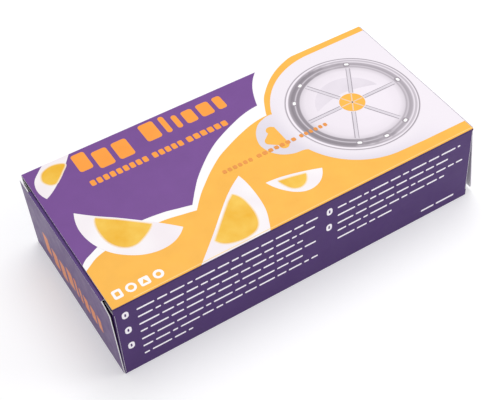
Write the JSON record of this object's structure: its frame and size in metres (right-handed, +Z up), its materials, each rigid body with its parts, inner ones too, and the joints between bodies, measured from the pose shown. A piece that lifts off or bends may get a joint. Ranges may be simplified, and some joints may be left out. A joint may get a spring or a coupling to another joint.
{
  "type": "boxed egg slicer",
  "caption": "Reverse-tuck paperboard carton with end closures, tuck tongues and dust flaps, holding a hinged two-chamber wire egg slicer.",
  "frame": {"origin": "centre of the underside of the carton's bottom panel", "axes": "+X along the carton to its right end, +Y to the back, +Z up"},
  "size_m": [0.2221, 0.105, 0.052],
  "materials": {
    "printed_board": "coated",
    "plain_board": "uncoated",
    "white_plastic": "gloss",
    "frame_plastic": "gloss",
    "wire_steel": "drawn",
    "ferrule_metal": "satin"
  },
  "bodies": {
    "carton": {"bottom_panel": "printed_board", "top_panel": "printed_board", "front_panel": "printed_board", "rear_panel": "printed_board", "glue_flap": "plain_board"},
    "left_closure": {"left_closure": "printed_board"},
    "left_tongue": {"left_tuck_tongue": "printed_board"},
    "left_front_dust_flap": {"left_front_dust_flap": "plain_board"},
    "left_rear_dust_flap": {"left_rear_dust_flap": "plain_board"},
    "right_closure": {"right_closure": "printed_board"},
    "right_tongue": {"right_tuck_tongue": "printed_board"},
    "right_front_dust_flap": {"right_front_dust_flap": "plain_board"},
    "right_rear_dust_flap": {"right_rear_dust_flap": "plain_board"},
    "slicer": {"slicer_base": "white_plastic", "wedge_hinge_pin": "wire_steel", "slice_hinge_pin": "wire_steel"},
    "wedge_frame": {"wedge_frame": "frame_plastic", "wedge_wires": "wire_steel", "wedge_wire_ferrules": "ferrule_metal"},
    "slice_frame": {"slice_frame": "frame_plastic", "slice_wires": "wire_steel", "slice_wire_ferrules": "ferrule_metal"}
  },
  "joints": [
    {"name": "left_closure_fold", "type": "hinge", "parent": "carton", "child": "left_closure", "pos_m": [-0.10775, 0, 0.00025], "axis": [0, -1, 0], "range_deg": [-1.5, 87]},
    {"name": "left_tongue_fold", "type": "hinge", "parent": "left_closure", "child": "left_tongue", "pos_m": [-0.10905, 0, 0.04993], "axis": [0, -1, 0], "range_deg": [-18.4, 0.8]},
    {"name": "left_front_dust_flap_fold", "type": "hinge", "parent": "carton", "child": "left_front_dust_flap", "pos_m": [-0.1072, -0.05225, 0.026], "axis": [0, 0, 1], "range_deg": [-1.25, 44.5]},
    {"name": "left_rear_dust_flap_fold", "type": "hinge", "parent": "carton", "child": "left_rear_dust_flap", "pos_m": [-0.1072, 0.05225, 0.026], "axis": [0, 0, -1], "range_deg": [-1.25, 44.5]},
    {"name": "right_closure_fold", "type": "hinge", "parent": "carton", "child": "right_closure", "pos_m": [0.10775, 0, 0.05175], "axis": [0, -1, 0], "range_deg": [-5.5, 160]},
    {"name": "right_tongue_fold", "type": "hinge", "parent": "right_closure", "child": "right_tongue", "pos_m": [0.11251, 0, 0.00228], "axis": [0, -1, 0], "range_deg": [-33, 1.6]},
    {"name": "right_front_dust_flap_fold", "type": "hinge", "parent": "carton", "child": "right_front_dust_flap", "pos_m": [0.1072, -0.05225, 0.026], "axis": [0, 0, -1], "range_deg": [-3.25, 81]},
    {"name": "right_rear_dust_flap_fold", "type": "hinge", "parent": "carton", "child": "right_rear_dust_flap", "pos_m": [0.1072, 0.05225, 0.026], "axis": [0, 0, 1], "range_deg": [-3.25, 81]},
    {"name": "slicer_play", "type": "slide", "parent": "carton", "child": "slicer", "axis": [1, 0, 0], "range_m": [-0.0015, 0.0015]},
    {"name": "wedge_frame_hinge", "type": "hinge", "parent": "slicer", "child": "wedge_frame", "pos_m": [-0.0046, 0, 0.0336], "axis": [0, 1, 0], "range_deg": [0, 7]},
    {"name": "slice_frame_hinge", "type": "hinge", "parent": "slicer", "child": "slice_frame", "pos_m": [0.0046, 0, 0.0336], "axis": [0, -1, 0], "range_deg": [0, 7]}
  ],
  "couplings": [
    {"joint": "left_tongue_fold", "follows": "left_closure_fold", "ratio": -0.2},
    {"joint": "left_front_dust_flap_fold", "follows": "left_closure_fold", "ratio": 0.5},
    {"joint": "left_rear_dust_flap_fold", "follows": "left_closure_fold", "ratio": 0.5},
    {"joint": "right_tongue_fold", "follows": "right_closure_fold", "ratio": -0.2},
    {"joint": "right_front_dust_flap_fold", "follows": "right_closure_fold", "ratio": 0.5},
    {"joint": "right_rear_dust_flap_fold", "follows": "right_closure_fold", "ratio": 0.5}
  ]
}
